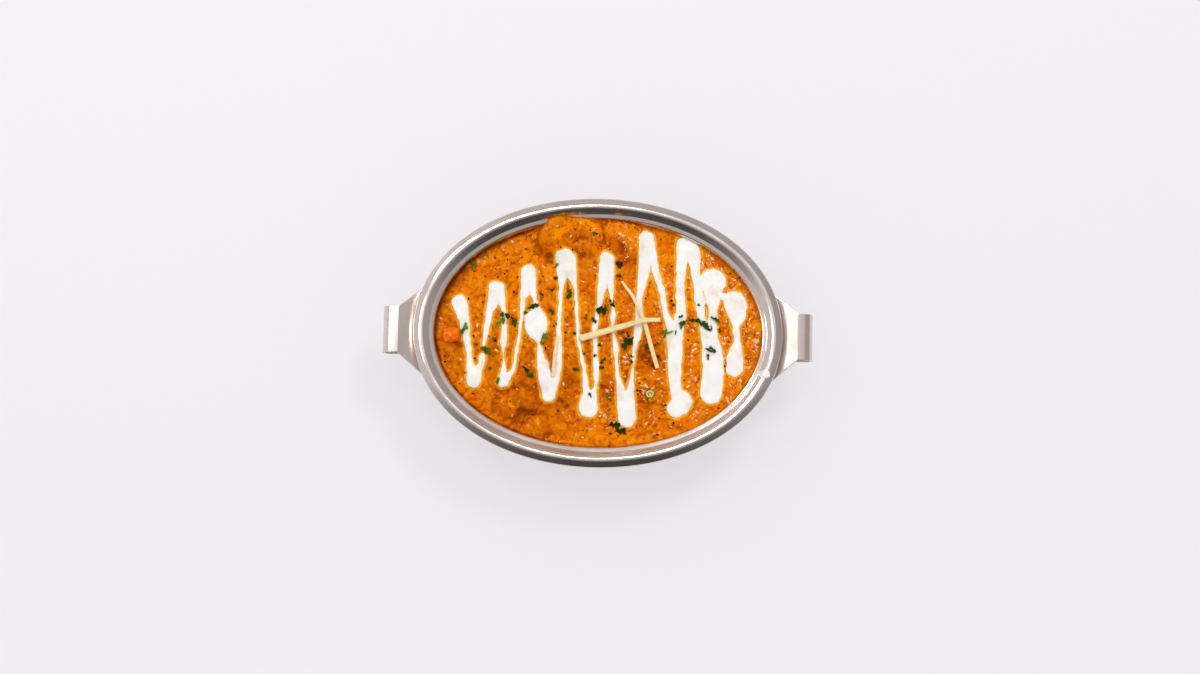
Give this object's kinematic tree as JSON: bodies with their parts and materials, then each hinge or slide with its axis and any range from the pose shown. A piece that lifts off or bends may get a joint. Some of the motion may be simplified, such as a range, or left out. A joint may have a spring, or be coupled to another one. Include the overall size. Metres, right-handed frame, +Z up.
{
  "type": "prawn masala in an oval serving dish",
  "caption": "Oval stainless-steel serving dish with two strap handles, filled with prawn masala under a zigzag of cream, ginger shreds and chopped coriander.",
  "frame": {"origin": "centre of the bounding box at the underside of the dish's flat base", "axes": "+X along the dish from handle to handle, towards the right-hand handle of the picture; +Y across it, towards the top of the picture; +Z up"},
  "size_m": [0.2336, 0.147, 0.0444],
  "materials": {
    "steel": "satin polish",
    "sauce": "oily, pebbled masala sauce",
    "prawn": "prawn coated in sauce",
    "cream": "thick poured cream",
    "ginger": "fresh moist ginger",
    "tomato": "soft cooked tomato"
  },
  "bodies": {
    "root": {"dish": "steel", "handle_left": "steel", "handle_right": "steel", "curry": "sauce", "prawn_rim_left": "prawn", "prawn_rim_right": "prawn", "prawn_front_left": "prawn", "prawn_front": "prawn", "prawn_middle": "prawn", "prawn_right": "prawn", "ginger_cross": "ginger", "ginger_under": "ginger", "ginger_in_cream": "ginger", "tomato_piece": "tomato", "cream_drop": "cream"}
  },
  "joints": []
}
